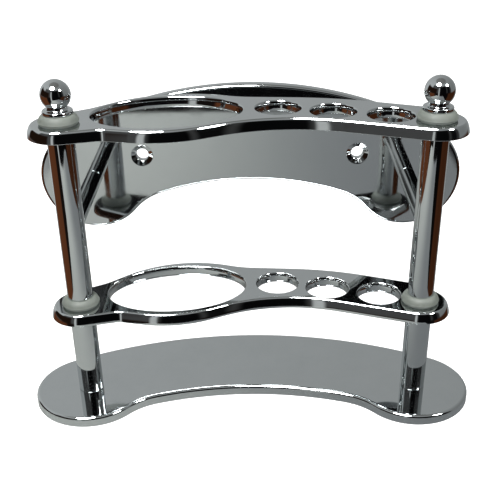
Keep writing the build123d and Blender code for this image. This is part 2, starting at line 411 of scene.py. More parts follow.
@dataclass(frozen=True)
class Rim:
    """Section of a plate's edge, from its top face to its underside.

    Each point is (inset into the metal, height); each normal is (out of the metal, up).
    """

    points: Array
    normals: Array

    @staticmethod
    def through(corners: Sequence[tuple[float, float, float]], steps: int = 9) -> "Rim":
        """Rim along a path of corners, each rounded by an arc.

        Args:
            corners: (inset, height, fillet), the first and last on the two flat faces.
            steps: points along each arc.

        Returns:
            The rim. Along an arc its normal turns evenly from one side's to the next one's.
        """
        path = np.array([corner[:2] for corner in corners], float)
        run = np.diff(path, axis=0)
        run /= np.linalg.norm(run, axis=1)[:, None]
        facing = np.stack([-run[:, 1], -run[:, 0]], axis=1)
        points, normals = [], []
        share = np.linspace(0.0, 1.0, steps)[:, None]
        for i in range(1, len(path) - 1):
            before, after = facing[i - 1], facing[i]
            sweep = math.acos(float(np.clip(before @ after, -1.0, 1.0)))
            weight = np.sin(sweep * np.hstack([1.0 - share, share])) / math.sin(sweep)
            normal = weight[:, :1] * before + weight[:, 1:] * after
            reach = corners[i][2] * math.tan(sweep / 2.0)
            bulge = 1.0 if run[i - 1][0] * run[i][1] - run[i - 1][1] * run[i][0] > 0.0 else -1.0
            outward = np.array([-1.0, 1.0])
            start = path[i] - run[i - 1] * reach
            centre = start - bulge * corners[i][2] * before * outward
            points.append(centre + bulge * corners[i][2] * normal * outward)
            normals.append(normal)
        return Rim(np.vstack(points), np.vstack(normals))

    @staticmethod
    def edge(top: tuple[float, float], bottom: tuple[float, float], lean: float = 0.0,
             steps: int = 12, thick: float = 5.0) -> "Rim":
        """Edge rounded above and below by quarter ellipses, upright or leaning inwards.

        At angle t of an ellipse with axes a and b the point is a cos t out and b sin t up from
        its middle, and the normal is along (cos t / a, sin t / b). Leaning adds lean times the
        height to the inset, and lean times the normal's outward part to its upward part.

        Args:
            top: half axes of the rounding above, inwards and down.
            bottom: the same below.
            lean: inset gained for each millimetre of height.
            steps: points along each rounding.
            thick: thickness of the plate.

        Returns:
            The rim.
        """
        points, normals = [], []
        for (inset, drop), up in ((top, 1.0), (bottom, -1.0)):
            t = np.linspace(math.pi / 2.0, 0.0, steps)[::int(up)]
            level = thick - drop if up > 0.0 else drop
            height = level + up * drop * np.sin(t)
            points.append(np.stack([inset * (1.0 - np.cos(t)) + lean * height, height], 1))
            out, rise = np.cos(t) / inset, up * np.sin(t) / drop
            slope = np.stack([out, rise + lean * np.maximum(out, 0.0)], 1)
            normals.append(slope / np.linalg.norm(slope, axis=1)[:, None])
        rim = Rim(np.vstack(points), np.vstack(normals))
        return Rim(rim.points - [rim.points[:, 0].min(), 0.0], rim.normals)


def plate_piece(name: str, edges: Sequence[tuple[Outline, Rim]], place: Matrix) -> Piece:
    """Plate with flat faces between its rims.

    A point of a rim lies at the outline's point less its normal times the inset. Its normal
    is the outline's normal times the rim's outward part, with the rim's upward part as z.

    Args:
        name: the piece's name.
        edges: each outline with its rim, the outer one and the openings.
        place: from the plate's own millimetres to the stand's.

    Returns:
        The object, with exact normals on every corner of the mesh.
    """
    points, normals, faces, flats, base = [], [], [], [], 0
    for outline, rim in edges:
        rows, columns = len(outline.points), len(rim.points)
        flat = outline.points[:, None, :] - outline.normals[:, None, :] * rim.points[None, :, :1]
        height = np.broadcast_to(rim.points[None, :, 1:], (rows, columns, 1))
        points.append(np.concatenate([flat, height], axis=-1).reshape(-1, 3))
        out = outline.normals[:, None, :] * rim.normals[None, :, :1]
        rise = np.broadcast_to(rim.normals[None, :, 1:], (rows, columns, 1))
        normals.append(np.concatenate([out, rise], axis=-1).reshape(-1, 3))
        faces.append(grid_faces(rows, columns, True, False) + base)
        starts = np.arange(rows) * columns + base
        flats += [(starts, np.roll(starts, -1)),
                  (starts + columns - 1, np.roll(starts, -1) + columns - 1)]
        base += rows * columns
    move, spin = np.array(place), np.array(place.to_3x3())
    spots = (np.vstack(points) @ spin.T + move[:3, 3]) * MM
    mesh = bpy.data.meshes.new(name)
    mesh.from_pydata(spots, [], np.vstack(faces).tolist())
    with editing(mesh) as work:
        work.verts.ensure_lookup_table()
        for parity in (0, 1):
            loops = [work.edges.get((work.verts[a], work.verts[b]))
                     for start, following in flats[parity::2]
                     for a, b in zip(start.tolist(), following.tolist())]
            bmesh.ops.triangle_fill(work, edges=loops, use_beauty=True)
    mesh.shade_smooth()
    mesh.normals_split_custom_set_from_vertices((np.vstack(normals) @ spin.T).tolist())
    return placed(name, mesh)


# ------------------------------------------------------------------ finishes
def linear(code: str) -> tuple[float, float, float, float]:
    """Turns an sRGB colour to linear light: c / 12.92, and above 0.04045 (c + 0.055) / 1.055
    to the power 2.4.

    Args:
        code: the colour as "#rrggbb".

    Returns:
        Red, green, blue and an alpha of one.
    """
    parts = np.array([int(code[i:i + 2], 16) for i in (1, 3, 5)]) / 255.0
    light = np.where(parts <= 0.04045, parts / 12.92, ((parts + 0.055) / 1.055) ** 2.4)
    return (*(float(c) for c in light), 1.0)


def add_node(tree: bpy.types.NodeTree, kind: str, inputs: Mapping[Any, Any] | None = None,
             **settings: Any) -> bpy.types.Node:
    """Adds a node with its settings, and links or fills its inputs.

    Args:
        tree: the node tree.
        kind: Blender's name of the node type.
        inputs: socket name or number, to the socket that feeds it or to its value.
        settings: the node's own properties.

    Returns:
        The node.
    """
    node = tree.nodes.new(kind)
    for key, value in settings.items():
        setattr(node, key, value)
    for key, value in (inputs or {}).items():
        if isinstance(value, bpy.types.NodeSocket):
            tree.links.new(value, node.inputs[key])
        else:
            node.inputs[key].default_value = value
    return node


def new_material(name: str) -> tuple[Material, bpy.types.NodeTree]:
    """Makes an empty node material.

    Args:
        name: its name.

    Returns:
        The material and its node tree.
    """
    material = bpy.data.materials.new(name)
    material.use_nodes = True
    material.node_tree.nodes.clear()
    return material, material.node_tree


def pattern_space(tree: bpy.types.NodeTree,
                  stretch: tuple[float, float, float] = (1.0, 1.0, 1.0)) -> bpy.types.NodeSocket:
    """Object coordinates, squeezed so that a pattern is drawn out along the smaller numbers.

    Args:
        tree: the node tree.
        stretch: share of each coordinate.

    Returns:
        The socket with the coordinates.
    """
    where = add_node(tree, "ShaderNodeTexCoord")
    mapping = add_node(tree, "ShaderNodeMapping", {
        "Vector": where.outputs["Object"], "Scale": stretch})
    return mapping.outputs["Vector"]


def per_metre(size_mm: float) -> float:
    """Scale of a noise whose features are about this many millimetres across."""
    return 1.0 / (size_mm * MM)


@dataclass(frozen=True)
class Chrome:
    """Bright chromium plate over nickel on polished metal.

    The eye gets a cool neutral mirror. Broad swells left by buffing bend the reflections a
    little, faint wipe marks dull them in patches, and hair-fine buffing lines catch the lamps.
    """

    name: str
    colour: str = "#c9cccd"
    shade: str = "#bfc3c4"
    roughness: float = 0.035
    smudge: float = 0.06          # added to the roughness where the plate was handled
    smudge_size: float = 16.0     # mm
    swell_size: float = 26.0      # mm between buffing swells
    swell_height: float = 0.010   # mm
    line_size: float = 0.45       # mm between buffing lines, real ones are finer
    line_height: float = 0.00025  # mm
    draw_out: tuple[float, float, float] = (0.04, 1.0, 1.0)   # lines run along the smallest

    def build(self) -> Material:
        """Makes the material.

        Returns:
            A mirror metal with patchy roughness and two scales of relief.
        """
        material, tree = new_material(self.name)
        plain = pattern_space(tree)
        patches = add_node(tree, "ShaderNodeTexNoise", {
            "Vector": plain, "Scale": per_metre(self.smudge_size), "Detail": 4.0, "Roughness": 0.62})
        colour = add_node(tree, "ShaderNodeMix", {
            "Factor": patches.outputs["Fac"], MIX_A: linear(self.colour),
            MIX_B: linear(self.shade)}, data_type="RGBA")
        rough = add_node(tree, "ShaderNodeMapRange", {
            "Value": patches.outputs["Fac"], "From Min": 0.45, "From Max": 0.75,
            "To Min": self.roughness, "To Max": self.roughness + self.smudge})
        swells = add_node(tree, "ShaderNodeTexNoise", {
            "Vector": plain, "Scale": per_metre(self.swell_size), "Detail": 1.0})
        broad = add_node(tree, "ShaderNodeBump", {
            "Height": swells.outputs["Fac"], "Strength": 1.0, "Distance": self.swell_height * MM})
        lines = add_node(tree, "ShaderNodeTexNoise", {
            "Vector": pattern_space(tree, self.draw_out), "Scale": per_metre(self.line_size),
            "Detail": 2.0})
        fine = add_node(tree, "ShaderNodeBump", {
            "Height": lines.outputs["Fac"], "Strength": 1.0, "Distance": self.line_height * MM,
            "Normal": broad.outputs["Normal"]})
        surface = add_node(tree, "ShaderNodeBsdfPrincipled", {
            "Base Color": colour.outputs[MIX_OUT], "Metallic": 1.0,
            "Roughness": rough.outputs["Result"], "Normal": fine.outputs["Normal"]})
        add_node(tree, "ShaderNodeOutputMaterial", {"Surface": surface.outputs["BSDF"]})
        return material


@dataclass(frozen=True)
class FrostedPlastic:
    """Natural polypropylene, moulded in a spark-eroded tool.

    The eye gets a milky grey-white ring: light goes in and comes out softened, the surface
    has an even fine grit, and the sheen is dull.
    """

    name: str = "frosted_polypropylene_moulded"
    colour: str = "#646963"
    depth: str = "#5b605a"
    roughness: float = 0.55
    grit_size: float = 0.35       # mm, real grit is finer
    grit_height: float = 0.006    # mm
    cloud_size: float = 3.0       # mm between paler and darker patches
    glow: float = 2.0             # mm that light spreads inside

    def build(self) -> Material:
        """Makes the material.

        Returns:
            A dull plastic that scatters light inside.
        """
        material, tree = new_material(self.name)
        plain = pattern_space(tree)
        cloud = add_node(tree, "ShaderNodeTexNoise", {
            "Vector": plain, "Scale": per_metre(self.cloud_size), "Detail": 3.0})
        colour = add_node(tree, "ShaderNodeMix", {
            "Factor": cloud.outputs["Fac"], MIX_A: linear(self.colour),
            MIX_B: linear(self.depth)}, data_type="RGBA")
        grit = add_node(tree, "ShaderNodeTexNoise", {
            "Vector": plain, "Scale": per_metre(self.grit_size), "Detail": 2.0})
        relief = add_node(tree, "ShaderNodeBump", {
            "Height": grit.outputs["Fac"], "Strength": 0.6, "Distance": self.grit_height * MM})
        rough = add_node(tree, "ShaderNodeMapRange", {
            "Value": grit.outputs["Fac"], "To Min": self.roughness - 0.08,
            "To Max": self.roughness + 0.1})
        surface = add_node(tree, "ShaderNodeBsdfPrincipled", {
            "Base Color": colour.outputs[MIX_OUT], "Roughness": rough.outputs["Result"], "IOR": 1.49,
            "Subsurface Weight": 0.55, "Subsurface Radius": (1.0, 1.0, 0.9),
            "Subsurface Scale": self.glow * MM, "Normal": relief.outputs["Normal"]})
        add_node(tree, "ShaderNodeOutputMaterial", {"Surface": surface.outputs["BSDF"]})
        return material


@dataclass(frozen=True)
class NylonMoulding:
    """Natural nylon, injection moulded: warm off-white with flow streaks and a soft gloss."""

    name: str = "natural_nylon_moulded"
    colour: str = "#dcd8ca"
    streak: str = "#cfcab8"
    roughness: float = 0.38
    streak_size: float = 1.6      # mm
    streak_height: float = 0.01   # mm
    glow: float = 1.0             # mm that light spreads inside

    def build(self) -> Material:
        """Makes the material.

        Returns:
            An off-white plastic with streaks.
        """
        material, tree = new_material(self.name)
        flow = add_node(tree, "ShaderNodeTexNoise", {
            "Vector": pattern_space(tree, (1.0, 1.0, 0.3)), "Scale": per_metre(self.streak_size),
            "Detail": 3.0, "Distortion": 0.8})
        colour = add_node(tree, "ShaderNodeMix", {
            "Factor": flow.outputs["Fac"], MIX_A: linear(self.colour),
            MIX_B: linear(self.streak)}, data_type="RGBA")
        relief = add_node(tree, "ShaderNodeBump", {
            "Height": flow.outputs["Fac"], "Strength": 0.3, "Distance": self.streak_height * MM})
        surface = add_node(tree, "ShaderNodeBsdfPrincipled", {
            "Base Color": colour.outputs[MIX_OUT], "Roughness": self.roughness, "IOR": 1.53,
            "Subsurface Weight": 0.2, "Subsurface Scale": self.glow * MM,
            "Normal": relief.outputs["Normal"]})
        add_node(tree, "ShaderNodeOutputMaterial", {"Surface": surface.outputs["BSDF"]})
        return material


@dataclass(frozen=True)
class MachinedMetal:
    """Metal left as it came off the machine or out of the plating tank.

    The eye gets a satin metal with tool rings about the axis and a mottled tint.
    """

    name: str
    colour: str
    mottle: str
    roughness: float
    axis: Axis = Axis.UP
    mottle_size: float = 1.8      # mm
    ring_size: float = 0.22       # mm between tool rings
    ring_height: float = 0.004    # mm
    ring_draw: float = 0.05       # share that draws a ring out round the axis

    def build(self) -> Material:
        """Makes the material.

        Returns:
            A satin metal with rings and mottling.
        """
        material, tree = new_material(self.name)
        squeeze = [self.ring_draw] * 3
        squeeze[self.axis.value] = 1.0
        rings = add_node(tree, "ShaderNodeTexNoise", {
            "Vector": pattern_space(tree, tuple(squeeze)), "Scale": per_metre(self.ring_size),
            "Detail": 2.0})
        cloud = add_node(tree, "ShaderNodeTexNoise", {
            "Vector": pattern_space(tree), "Scale": per_metre(self.mottle_size), "Detail": 3.0})
        colour = add_node(tree, "ShaderNodeMix", {
            "Factor": cloud.outputs["Fac"], MIX_A: linear(self.colour),
            MIX_B: linear(self.mottle)}, data_type="RGBA")
        rough = add_node(tree, "ShaderNodeMapRange", {
            "Value": cloud.outputs["Fac"], "To Min": self.roughness - 0.06,
            "To Max": self.roughness + 0.12})
        relief = add_node(tree, "ShaderNodeBump", {
            "Height": rings.outputs["Fac"], "Strength": 0.5, "Distance": self.ring_height * MM})
        surface = add_node(tree, "ShaderNodeBsdfPrincipled", {
            "Base Color": colour.outputs[MIX_OUT], "Metallic": 1.0,
            "Roughness": rough.outputs["Result"], "Normal": relief.outputs["Normal"]})
        add_node(tree, "ShaderNodeOutputMaterial", {"Surface": surface.outputs["BSDF"]})
        return material


@dataclass
class Finishes:
    """Every finish on the stand, made once."""

    plate: Material = field(default_factory=lambda: Chrome(
        "polished_chrome_on_zinc_casting").build())
    upright: Material = field(default_factory=lambda: Chrome(
        "polished_chrome_on_wall_casting").build())
    tube: Material = field(default_factory=lambda: Chrome(
        "chrome_on_drawn_brass_tube", smudge=0.04, swell_size=18.0, swell_height=0.006,
        draw_out=(1.0, 1.0, 0.03)).build())
    arm: Material = field(default_factory=lambda: Chrome(
        "chrome_on_turned_brass_bar", smudge=0.04, swell_size=14.0, swell_height=0.005,
        draw_out=(1.0, 0.05, 1.0)).build())
    ball: Material = field(default_factory=lambda: Chrome(
        "chrome_on_turned_brass_ball", smudge=0.03, swell_size=9.0, swell_height=0.002,
        draw_out=(0.06, 0.06, 1.0)).build())
    frosted: Material = field(default_factory=lambda: FrostedPlastic().build())
    nylon: Material = field(default_factory=lambda: NylonMoulding().build())
    steel: Material = field(default_factory=lambda: MachinedMetal(
        "bright_zinc_plated_steel", "#b9bcba", "#a9aeb2", 0.24).build())
    screw: Material = field(default_factory=lambda: MachinedMetal(
        "bright_zinc_plated_screw_steel", "#b9bcba", "#a9aeb2", 0.22, axis=Axis.BACK).build())
    brass: Material = field(default_factory=lambda: MachinedMetal(
        "turned_brass", "#b9944e", "#a37d3c", 0.22).build())


def dress(piece: Piece, material: Material, body: str, node: str) -> None:
    """Gives a new piece its finish, its body and the CAD node that it stands for.

    Args:
        piece: the piece.
        material: its finish.
        body: the moving body that it rides on.
        node: the CAD node.
    """
    piece.data.materials.append(material)
    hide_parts(node)
    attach(piece, body)
    log.info("%s stands for %s on %s", piece.name, node, body)


# ------------------------------------------------------------------ the stand
@dataclass
class Castings:
    """Base plate, wall plate and the two shelves: cast, buffed and plated."""

    finishes: Finishes
    thick: float = 5.0
    lobe: float = 27.0
    hollow_radius: float = 150.0
    hollow_apex: float = -1.5     # from the line of the lobes' centres
    hollow_blend: float = 30.0
    crown_radius: float = 192.0
    plate_rim: Rim = field(default_factory=lambda: Rim.edge((1.7, 1.7), (0.4, 0.4)))
    shelf_rim: Rim = field(default_factory=lambda: Rim.edge(
        (1.4, 4.4), (0.3, 0.3), lean=0.17, steps=16))
    cup_rim: Rim = field(default_factory=lambda: Rim.edge((0.9, 2.6), (0.6, 1.6)))
    rod_rim: Rim = field(default_factory=lambda: Rim.edge((0.3, 0.3), (0.3, 0.3), steps=4))
    oval: Outline = field(default_factory=lambda: Outline.opening(
        (-35.4, 14.2), (33.0, 21.5), 8.7, 260))
    cups: tuple[tuple[float, float], ...] = ((13.3, 18.4), (37.3, 13.3), (61.6, 7.0))
    cup_radius: float = 9.9
    rod_hole: float = 2.75
    nut_sink: float = 5.4         # radius of the counterbore
    nut_seat: float = 3.4         # height of its roof
    wall_hole: float = 3.1
    wall_hole_at: tuple[float, float] = (54.3, 103.6)   # from the middle, and above the floor
    wall_sink: tuple[float, float] = (2.4, 1.25)        # width and depth round the hole
    arm_hole: float = 2.02
    arm_sink: float = 2.0         # width and depth round the hole
    shelf_pegs: tuple[tuple[float, float, float, int], ...] = (
        (-80.0, 0.0, 14.0, 1), (-61.0, -18.9, 9.0, -1), (-40.0, 33.8, 47.0, 1),
        (18.5, -66.6, 69.0, -1), (80.0, 0.0, 14.0, 1), (72.0, 2.6, 18.0, 1),
        (12.0, -94.6, 130.0, 1), (4.0, 74.4, 38.0, -1), (-28.5, -7.5, 50.0, 1),
        (-85.0, 39.9, 23.0, -1))

    @property
    def span(self) -> float:
        """Half the distance between the posts."""
        return float(middle("right_lower_tube")[0])

    def kidney(self) -> Outline:
        """Outline of the base and the wall plate: two lobes, a long crown and a hollow whose
        ends bend more tightly. The bend's centre is at the sum and difference of the radii
        from the lobe's and the hollow's.

        Returns:
            The outline, about the point midway between the lobes' centres.
        """
        hollow_y = self.hollow_apex - self.hollow_radius
        from_hollow = self.hollow_radius - self.hollow_blend
        from_lobe = self.hollow_blend + self.lobe
        between = math.hypot(self.span, hollow_y)
        along = (from_hollow ** 2 - from_lobe ** 2 + between ** 2) / (2.0 * between)
        off = math.sqrt(from_hollow ** 2 - along ** 2)
        way_x, way_y = self.span / between, -hollow_y / between
        bend_x, bend_y = along * way_x - off * way_y, hollow_y + along * way_y + off * way_x
        crown_y = -math.sqrt((self.crown_radius - self.lobe) ** 2 - self.span ** 2)
        return Outline.belt([
            (-self.span, 0.0, self.lobe, 1), (-bend_x, bend_y, self.hollow_blend, -1),
            (0.0, hollow_y, self.hollow_radius, -1), (bend_x, bend_y, self.hollow_blend, -1),
            (self.span, 0.0, self.lobe, 1), (0.0, crown_y, self.crown_radius, 1)])

    @staticmethod
    def hole(x: float, y: float, radius: float) -> Outline:
        """Round hole through a plate."""
        return Outline.opening((x, y), (radius, radius), count=96)

    @staticmethod
    def lying(node: str) -> Matrix:
        """Place of a level plate whose own origin is midway between the posts."""
        return Matrix.Translation((0.0, middle("left_lower_tube")[1], low_high(node)[0][2]))

    def base(self) -> None:
        """Builds the base plate, with a counterbore under each post for the nut."""
        node, thick, seat = "base_plate", self.thick, self.nut_seat
        wide = self.nut_sink - self.rod_hole
        rim = Rim.through([(0.6, thick, 0.0), (0.0, thick, 0.3), (0.0, seat, 0.15),
                           (wide, seat, 0.15), (wide, 0.0, 0.3), (wide + 0.6, 0.0, 0.0)])
        edges = [(self.kidney(), self.plate_rim)]
        edges += [(self.hole(x, 0.0, self.rod_hole), rim) for x in (-self.span, self.span)]
        piece = plate_piece("base_plate_cast", edges, self.lying(node))
        dress(piece, self.finishes.plate, "stand", node)

    def wall(self) -> None:
        """Builds the wall plate, with polished countersinks in front for the wall screws and
        countersinks behind for the arm screws."""
        node, thick = "wall_plate", self.thick
        arm_z = middle("left_wall_arm")[2]
        (sink, drop), head = self.wall_sink, self.arm_sink
        wall_rim = Rim.through([(sink + 1.0, thick, 0.0), (sink, thick, 0.9),
                                (0.0, thick - drop, 0.7), (0.0, 0.0, 0.3), (0.6, 0.0, 0.0)])
        arm_rim = Rim.through([(0.5, thick, 0.0), (0.0, thick, 0.2), (0.0, head, 0.2),
                               (head, 0.0, 0.2), (head + 0.5, 0.0, 0.0)])
        hole_x, hole_z = self.wall_hole_at
        edges = [(self.kidney(), self.plate_rim)]
        edges += [(self.hole(x, hole_z - arm_z, self.wall_hole), wall_rim) for x in (-hole_x, hole_x)]
        edges += [(self.hole(x, 0.0, self.arm_hole), arm_rim) for x in (-self.span, self.span)]
        upright = Matrix.Rotation(math.pi / 2.0, 4, "X")
        place = Matrix.Translation((0.0, low_high(node)[1][1], arm_z)) @ upright
        piece = plate_piece("wall_plate_cast", edges, place)
        dress(piece, self.finishes.upright, "stand", node)

    def shelf(self, tier: str) -> None:
        """Builds a shelf.

        Args:
            tier: "lower" or "upper".
        """
        node = f"{tier}_shelf"
        edges = [(Outline.belt(self.shelf_pegs), self.shelf_rim), (self.oval, self.cup_rim)]
        edges += [(self.hole(x, y, self.cup_radius), self.cup_rim) for x, y in self.cups]
        edges += [(self.hole(x, 0.0, self.rod_hole), self.rod_rim) for x in (-self.span, self.span)]
        piece = plate_piece(f"{node}_cast", edges, self.lying(node))
        dress(piece, self.finishes.plate, "stand", node)

    def build(self) -> None:
        """Builds the four castings."""
        self.base()
        self.wall()
        for tier in ("lower", "upper"):
            self.shelf(tier)


@dataclass
class Post:
    """One post: two tubes with bushes in their ends and frosted washers between the tiers."""

    side: Side
    finishes: Finishes
    tube_wall: float = 1.2
    tube_edge: float = 0.25       # broken edge at each tube end
    bush_height: float = 4.0
    bush_bore: float = 2.53
    rod_clearance: float = 2.75
    seat_radius: float = 6.7
    rim_height: float = 1.4
    rim_draft: float = 0.5        # how far the washer's rim draws in to its foot
    shoulder_bulge: float = 0.22
    segments: int = 128

    def tube(self, tier: str) -> None:
        """Builds a tube as a closed wall profile turned about the post.

        Args:
            tier: "lower" or "upper".
        """
        node = f"{self.side.value}_{tier}_tube"
        outer, length = round_size(node)
        inner = outer - self.tube_wall
        profile = rounded([(inner, 0.0, 0.1), (outer, 0.0, self.tube_edge),
                           (outer, length, self.tube_edge), (inner, length, 0.1)])
        skin = turned(densify(profile, 6.0), self.segments)
        piece = solid_piece(f"{node}_drawn", [(skin, True, True)], foot(node))
        dress(piece, self.finishes.tube, "stand", node)

    def bushes(self, tier: str) -> None:
        """Builds the two bushes in a tube, each a ring with a lead-in taper at both ends."""
        node = f"{self.side.value}_{tier}_tube_bushes"
        outer, spread = round_size(node)
        height, bore, lead = self.bush_height, self.bush_bore, 1.2
        profile = rounded([(bore, 0.0, 0.2), (outer - 0.15, 0.0, 0.35), (outer, lead, 0.2),
                           (outer, height - lead, 0.2), (outer - 0.15, height, 0.35),
                           (bore, height, 0.2)])
        grids = [(turned(profile + [0.0, rise], 72), True, True) for rise in (0.0, spread - height)]
        piece = solid_piece(f"{node}_moulded", grids, foot(node))
        dress(piece, self.finishes.nylon, "stand", node)

    def washer(self, tier: str) -> None:
        """Builds a frosted washer: a rim that draws in to its foot, a crisp lip, a shoulder that
        falls from the flat seat almost straight, and the bore.

        The shoulder is the straight line from lip to seat, raised by a half sine wave.
        """
        node = f"{self.side.value}_{tier}_washer"
        outer, height = round_size(node)
        share = np.linspace(0.0, 1.0, 16)[:, None]
        lip = np.array([outer - 0.12, self.rim_height])
        seat = np.array([self.seat_radius, height])
        shoulder = lip + (seat - lip) * share + self.shoulder_bulge * np.sin(math.pi * share)
        bottom = rounded([(self.rod_clearance, height, 0.15), (self.rod_clearance, 0.0, 0.2),
                          (outer - self.rim_draft, 0.0, 0.3), (outer, self.rim_height - 0.15, 0.1),
                          (*lip, 0.0)], closed=False)
        profile = np.vstack([bottom[:-1], shoulder])
        piece = solid_piece(f"{node}_moulded", [(turned(profile, self.segments), True, True)],
                            foot(node), crease=30.0)
        dress(piece, self.finishes.frosted, "stand", node)

    def build(self) -> None:
        """Builds the post from the bottom up."""
        for tier in ("lower", "upper"):
            self.tube(tier)
            self.bushes(tier)
            self.washer(tier)


@dataclass
class TieRod:
    """Tie rod with its nut and lock washer under the base plate."""

    side: Side
    finishes: Finishes
    depth: float = 0.43           # of the rod's thread
    foot_thread: float = 12.0     # length of thread at the nut
    head_thread: float = 18.0     # length of thread in the finial
    nut_flats: float = 8.0
    nut_bore: tuple[float, float] = (2.22, 2.52)   # at the thread's crest and root
    nut_crest_cut: float = 2.3    # radius that the crests are trimmed to
    ring_bore: float = 2.78
    ring_spring: float = 0.12     # how far the ring's ends stand apart
    ring_split: float = math.radians(7.0)          # half of the gap

    def rod(self) -> None:
        """Builds the rod with a thread at each end.

        The radius is the rod's, less the thread's depth times its wave, times a run-out that
        falls from one to nothing over a pitch where each thread ends; the ends are chamfered.
        """
        node = f"{self.side.value}_tie_rod"
        radius, length = round_size(node)
        step = THREAD_PITCH / 10.0
        head = length - self.head_thread
        height = np.concatenate([np.arange(0.0, self.foot_thread, step),
                                 np.linspace(self.foot_thread, head, 12),
                                 np.arange(head + step, length, step), [length]])[None, :]
        angle = full_turn(48)
        cut = np.maximum(np.clip((self.foot_thread - height) / THREAD_PITCH, 0.0, 1.0),
                         np.clip((height - head) / THREAD_PITCH, 0.0, 1.0))
        across = radius - self.depth * thread_depth(angle, height, THREAD_PITCH) * cut
        chamfer = np.minimum(height, length - height) + radius - 0.5
        wall = carried_round(np.minimum(across, chamfer), height, angle)
        piece = solid_piece(f"{node}_threaded", [(wall, True, False)], foot(node), crease=60.0)
        self.close_ends(piece)
        dress(piece, self.finishes.steel, "stand", node)

    @staticmethod
    def close_ends(piece: Piece) -> None:
        """Fills the open rings at a rod's two ends.

        Args:
            piece: the rod.
        """
        with editing(piece.data) as work:
            open_edges = [edge for edge in work.edges if edge.is_boundary]
            bmesh.ops.holes_fill(work, edges=open_edges, sides=0)

    def nut(self) -> None:
        """Builds the hexagon nut.

        Its wall stands at the hexagon's distance. Each end is the lower of the flat face and
        a cone of 30 degrees that starts at the inscribed circle, and the bore has a thread.
        """
        node = f"{self.side.value}_base_nut"
        _, height = round_size(node)
        angle = full_turn(144)
        wide, inscribed = hexagon(angle, self.nut_flats), self.nut_flats / 2.0 - 0.12
        drop = (wide - inscribed) * math.tan(math.radians(30.0))
        rows = np.linspace(0.0, height, 34)[None, :]
        crest, root = self.nut_bore
        bore = crest + (root - crest) * thread_depth(angle, rows, THREAD_PITCH)
        lead = np.maximum(0.0, 0.35 - np.minimum(rows, height - rows))
        bore = np.maximum(bore, self.nut_crest_cut + lead)
        face = inscribed + 0.0 * angle
        radii = np.hstack([bore, face, wide, wide, face])
        heights = np.hstack([rows + 0.0 * angle, height + 0.0 * angle, height - drop,
                             drop, 0.0 * angle])
        grid = carried_round(radii, heights, angle)
        piece = solid_piece(f"{node}_hexagon", [(grid, True, True)], foot(node), crease=25.0)
        dress(piece, self.finishes.steel, "stand", node)

    def lock_washer(self) -> None:
        """Builds the split lock washer: a flat section carried round all but the split, with
        its two ends sprung apart by a straight rise round the turn."""
        node = f"{self.side.value}_lock_washer"
        outer, whole = round_size(node)
        inner, thick, steps = self.ring_bore, whole - self.ring_spring, 97
        section = rounded([(inner, 0.0, 0.08), (outer, 0.0, 0.08), (outer, thick, 0.08),
                           (inner, thick, 0.08)], steps=4)
        grid = turned(section, steps, start=self.ring_split, end=TURN - self.ring_split)
        grid[..., 2] += self.ring_spring * np.linspace(0.0, 1.0, steps)[:, None]
        piece = solid_piece(f"{node}_split", [(grid, False, True)], foot(node), caps=True)
        dress(piece, self.finishes.steel, "stand", node)

    def build(self) -> None:
        """Builds the rod and what holds it."""
        self.rod()
        self.nut()
        self.lock_washer()


